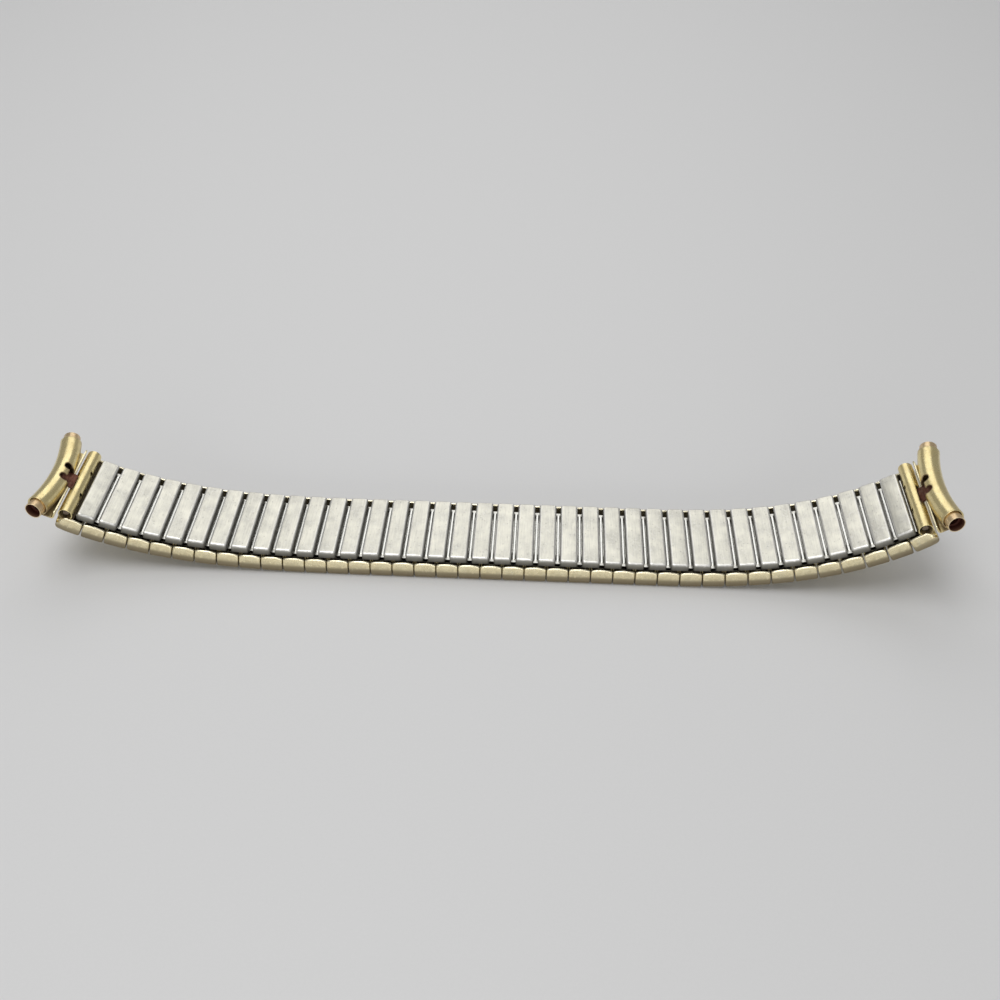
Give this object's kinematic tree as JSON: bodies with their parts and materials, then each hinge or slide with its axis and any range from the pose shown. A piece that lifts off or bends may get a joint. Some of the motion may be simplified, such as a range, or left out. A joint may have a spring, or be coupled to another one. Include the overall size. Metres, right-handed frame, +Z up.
{
  "type": "expansion watch band",
  "caption": "Expansion watch band of staggered steel sleeves and gold shells, stretching and flexing link by link, with hinged curved ends and telescoping liners.",
  "frame": {"origin": "on the surface the band lies on, under the middle of its length and width", "axes": "+X along the band, +Y across it, +Z up through the steel back"},
  "size_m": [0.1412, 0.0184, 0.0182],
  "materials": {
    "end_gold": "gold filling with brown tarnish near the folds",
    "link_steel": "fine satin stainless steel",
    "gold_shell": "pale champagne gold filling, satin with worn edges",
    "spring_steel": "dull spring steel",
    "pin_steel": "plain turned steel",
    "liner_gold": "pinkish base metal showing through worn gold"
  },
  "bodies": {
    "segment_01": {"top_shells_01": "gold_shell", "steel_links_01": "link_steel", "end_cover_left": "end_gold", "hinge_pin_left": "pin_steel"},
    "segment_02": {"top_shells_02": "gold_shell", "steel_links_02": "link_steel"},
    "segment_03": {"top_shells_03": "gold_shell", "steel_links_03": "link_steel"},
    "segment_04": {"top_shells_04": "gold_shell", "steel_links_04": "link_steel"},
    "segment_05": {"top_shells_05": "gold_shell", "steel_links_05": "link_steel"},
    "segment_06": {"top_shells_06": "gold_shell", "steel_links_06": "link_steel"},
    "segment_07": {"top_shells_07": "gold_shell", "top_sleeves_07": "link_steel", "back_links_07": "link_steel", "leaf_springs_07": "spring_steel", "side_clips_07": "spring_steel"},
    "segment_08": {"top_shells_08": "gold_shell", "steel_links_08": "link_steel"},
    "segment_09": {"top_shells_09": "gold_shell", "steel_links_09": "link_steel"},
    "segment_10": {"top_shells_10": "gold_shell", "steel_links_10": "link_steel"},
    "segment_11": {"top_shells_11": "gold_shell", "steel_links_11": "link_steel"},
    "segment_12": {"top_shells_12": "gold_shell", "steel_links_12": "link_steel"},
    "segment_13": {"top_shells_13": "gold_shell", "steel_links_13": "link_steel", "end_cover_right": "end_gold", "hinge_pin_right": "pin_steel"},
    "bridge_01": {"bridge_link_01": "link_steel"},
    "bridge_02": {"bridge_link_02": "link_steel"},
    "bridge_03": {"bridge_link_03": "link_steel"},
    "bridge_04": {"bridge_link_04": "link_steel"},
    "bridge_05": {"bridge_link_05": "link_steel"},
    "bridge_06": {"bridge_link_06": "link_steel"},
    "bridge_07": {"bridge_link_07": "link_steel"},
    "bridge_08": {"bridge_link_08": "link_steel"},
    "bridge_09": {"bridge_link_09": "link_steel"},
    "bridge_10": {"bridge_link_10": "link_steel"},
    "bridge_11": {"bridge_link_11": "link_steel"},
    "bridge_12": {"bridge_link_12": "link_steel"},
    "curved_end_left": {"curved_end_left": "end_gold", "hinge_tongue_left": "link_steel"},
    "liner_left_near": {"liner_sleeve_left_near": "liner_gold"},
    "liner_left_far": {"liner_sleeve_left_far": "liner_gold"},
    "curved_end_right": {"curved_end_right": "end_gold", "hinge_tongue_right": "link_steel"},
    "liner_right_near": {"liner_sleeve_right_near": "liner_gold"},
    "liner_right_far": {"liner_sleeve_right_far": "liner_gold"}
  },
  "joints": [
    {"name": "stretch_01", "type": "slide", "parent": "segment_02", "child": "bridge_01", "axis": [-0.9602, 0, 0.2794], "range_m": [0, 0.0009], "stiffness_N_per_m": 600},
    {"name": "flex_01", "type": "hinge", "parent": "bridge_01", "child": "segment_01", "pos_m": [-0.05783, 0, 0.00659], "axis": [0, 1, 0], "range_deg": [-2, 22]},
    {"name": "stretch_02", "type": "slide", "parent": "segment_03", "child": "bridge_02", "axis": [-0.9898, 0, 0.1425], "range_m": [0, 0.0009], "stiffness_N_per_m": 600},
    {"name": "flex_02", "type": "hinge", "parent": "bridge_02", "child": "segment_02", "pos_m": [-0.04764, 0, 0.00409], "axis": [0, 1, 0], "range_deg": [-2, 22]},
    {"name": "stretch_03", "type": "slide", "parent": "segment_04", "child": "bridge_03", "axis": [-0.9987, 0, 0.0502], "range_m": [0, 0.0009], "stiffness_N_per_m": 600},
    {"name": "flex_03", "type": "hinge", "parent": "bridge_03", "child": "segment_03", "pos_m": [-0.03721, 0, 0.00291], "axis": [0, 1, 0], "range_deg": [-2, 22]},
    {"name": "stretch_04", "type": "slide", "parent": "segment_05", "child": "bridge_04", "axis": [-1, 0, 0.0049], "range_m": [0, 0.0009], "stiffness_N_per_m": 600},
    {"name": "flex_04", "type": "hinge", "parent": "bridge_04", "child": "segment_04", "pos_m": [-0.02672, 0, 0.00255], "axis": [0, 1, 0], "range_deg": [-2, 22]},
    {"name": "stretch_05", "type": "slide", "parent": "segment_06", "child": "bridge_05", "axis": [-1, 0, 0], "range_m": [0, 0.0009], "stiffness_N_per_m": 600},
    {"name": "flex_05", "type": "hinge", "parent": "bridge_05", "child": "segment_05", "pos_m": [-0.01622, 0, 0.00253], "axis": [0, 1, 0], "range_deg": [-2, 22]},
    {"name": "stretch_06", "type": "slide", "parent": "segment_07", "child": "bridge_06", "axis": [-1, 0, 0], "range_m": [0, 0.0009], "stiffness_N_per_m": 600},
    {"name": "flex_06", "type": "hinge", "parent": "bridge_06", "child": "segment_06", "pos_m": [-0.00572, 0, 0.00253], "axis": [0, 1, 0], "range_deg": [-2, 22]},
    {"name": "stretch_07", "type": "slide", "parent": "segment_07", "child": "bridge_07", "axis": [1, 0, 0], "range_m": [0, 0.0009], "stiffness_N_per_m": 600},
    {"name": "flex_07", "type": "hinge", "parent": "bridge_07", "child": "segment_08", "pos_m": [0.00753, 0, 0.00253], "axis": [0, -1, 0], "range_deg": [-2, 22]},
    {"name": "stretch_08", "type": "slide", "parent": "segment_08", "child": "bridge_08", "axis": [1, 0, 0], "range_m": [0, 0.0009], "stiffness_N_per_m": 600},
    {"name": "flex_08", "type": "hinge", "parent": "bridge_08", "child": "segment_09", "pos_m": [0.01803, 0, 0.00253], "axis": [0, -1, 0], "range_deg": [-2, 22]},
    {"name": "stretch_09", "type": "slide", "parent": "segment_09", "child": "bridge_09", "axis": [1, 0, 0.0015], "range_m": [0, 0.0009], "stiffness_N_per_m": 600},
    {"name": "flex_09", "type": "hinge", "parent": "bridge_09", "child": "segment_10", "pos_m": [0.02853, 0, 0.00254], "axis": [0, -1, 0], "range_deg": [-2, 22]},
    {"name": "stretch_10", "type": "slide", "parent": "segment_10", "child": "bridge_10", "axis": [0.9973, 0, 0.073], "range_m": [0, 0.0009], "stiffness_N_per_m": 600},
    {"name": "flex_10", "type": "hinge", "parent": "bridge_10", "child": "segment_11", "pos_m": [0.03901, 0, 0.00303], "axis": [0, -1, 0], "range_deg": [-2, 22]},
    {"name": "stretch_11", "type": "slide", "parent": "segment_11", "child": "bridge_11", "axis": [0.9765, 0, 0.2157], "range_m": [0, 0.0009], "stiffness_N_per_m": 600},
    {"name": "flex_11", "type": "hinge", "parent": "bridge_11", "child": "segment_12", "pos_m": [0.04934, 0, 0.00482], "axis": [0, -1, 0], "range_deg": [-2, 22]},
    {"name": "stretch_12", "type": "slide", "parent": "segment_12", "child": "bridge_12", "axis": [0.913, 0, 0.4079], "range_m": [0, 0.0009], "stiffness_N_per_m": 600},
    {"name": "flex_12", "type": "hinge", "parent": "bridge_12", "child": "segment_13", "pos_m": [0.05915, 0, 0.00849], "axis": [0, -1, 0], "range_deg": [-2, 22]},
    {"name": "swing_left", "type": "hinge", "parent": "segment_01", "child": "curved_end_left", "pos_m": [-0.06548, 0, 0.0105], "axis": [0, 1, 0], "range_deg": [-15, 30]},
    {"name": "telescope_left_near", "type": "slide", "parent": "curved_end_left", "child": "liner_left_near", "axis": [-0.1899, -0.9774, 0.0926], "range_m": [-0.001, 0.001]},
    {"name": "telescope_left_far", "type": "slide", "parent": "curved_end_left", "child": "liner_left_far", "axis": [-0.1899, 0.9774, 0.0926], "range_m": [-0.001, 0.001]},
    {"name": "swing_right", "type": "hinge", "parent": "segment_13", "child": "curved_end_right", "pos_m": [0.06597, 0, 0.0137], "axis": [0, -1, 0], "range_deg": [-15, 30]},
    {"name": "telescope_right_near", "type": "slide", "parent": "curved_end_right", "child": "liner_right_near", "axis": [0.168, -0.9774, 0.1282], "range_m": [-0.001, 0.001]},
    {"name": "telescope_right_far", "type": "slide", "parent": "curved_end_right", "child": "liner_right_far", "axis": [0.168, 0.9774, 0.1282], "range_m": [-0.001, 0.001]}
  ],
  "couplings": [
    {"joint": "stretch_01", "follows": "stretch_07", "ratio": 1},
    {"joint": "stretch_02", "follows": "stretch_07", "ratio": 1},
    {"joint": "stretch_03", "follows": "stretch_07", "ratio": 1},
    {"joint": "stretch_04", "follows": "stretch_07", "ratio": 1},
    {"joint": "stretch_05", "follows": "stretch_07", "ratio": 1},
    {"joint": "stretch_06", "follows": "stretch_07", "ratio": 1},
    {"joint": "stretch_08", "follows": "stretch_07", "ratio": 1},
    {"joint": "stretch_09", "follows": "stretch_07", "ratio": 1},
    {"joint": "stretch_10", "follows": "stretch_07", "ratio": 1},
    {"joint": "stretch_11", "follows": "stretch_07", "ratio": 1},
    {"joint": "stretch_12", "follows": "stretch_07", "ratio": 1}
  ]
}
